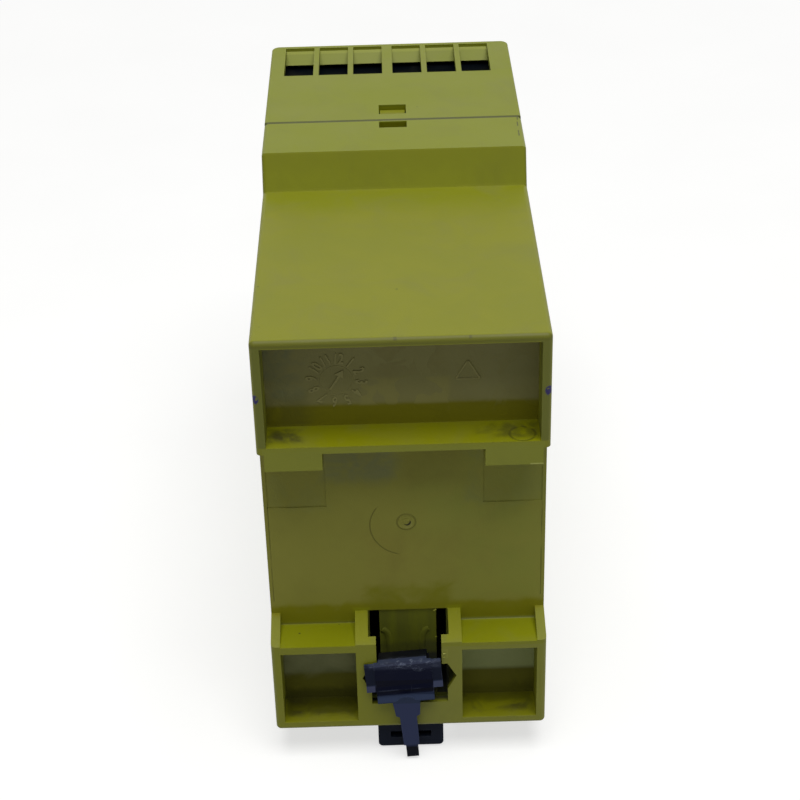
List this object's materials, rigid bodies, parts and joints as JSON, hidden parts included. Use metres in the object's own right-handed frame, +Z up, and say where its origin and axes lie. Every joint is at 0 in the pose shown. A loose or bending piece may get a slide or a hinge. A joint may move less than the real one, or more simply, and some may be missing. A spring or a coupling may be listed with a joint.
{
  "type": "safety relay",
  "caption": "Narrow moulded safety relay that clips on a top-hat rail, with a sliding rail latch, wire windows over screw clamps, and boards, relays and a transformer inside.",
  "frame": {"origin": "middle of the flat face in the rear slot that rests on the rail, level with the rail's centre line", "axes": "+X to the right when the back is looked at, +Y from the rail towards the front, +Z up as mounted"},
  "size_m": [0.045, 0.1229, 0.087],
  "materials": {
    "housing": "fine satin moulding, olive yellow",
    "latch": "smooth satin moulding, blue-black",
    "block": "satin, black",
    "clamp": "zinc plated",
    "screw": "zinc plated",
    "tab": "stamped strip",
    "board": "green laminate",
    "relay_case": "off-white case",
    "core": "varnished laminations",
    "coil": "taped winding",
    "can": "plain can",
    "film_case": "moulded case",
    "varistor": "lacquered disc",
    "fuse": "plain tube",
    "chip": "moulded package",
    "resistor": "lacquered body",
    "led": "clear dome",
    "guide": "clear rod"
  },
  "bodies": {
    "housing": {"rear_housing": "housing", "front_housing": "housing", "terminal_block_top": "block", "terminal_block_bottom": "block", "terminal_clamps_top": "clamp", "terminal_clamps_bottom": "clamp", "terminal_screws_top": "screw", "terminal_screws_bottom": "screw", "terminal_tabs_top": "tab", "terminal_tabs_bottom": "tab", "terminal_board": "board", "main_board": "board", "relay_board": "board", "main_header": "block", "relay_header": "block", "relay_low": "relay_case", "relay_middle": "relay_case", "relay_high": "relay_case", "transformer_core": "core", "transformer_coil": "coil", "smoothing_capacitor": "can", "small_capacitors": "can", "film_capacitor": "film_case", "varistor": "varistor", "fuse_link": "fuse", "optocouplers": "chip", "controller_chip": "chip", "resistors": "resistor", "indicator_leds": "led", "light_guides": "guide"},
    "latch": {"rail_latch": "latch"}
  },
  "joints": [
    {"name": "latch_slide", "type": "slide", "parent": "housing", "child": "latch", "axis": [0, 0, 1], "range_m": [0, 0.009]}
  ]
}
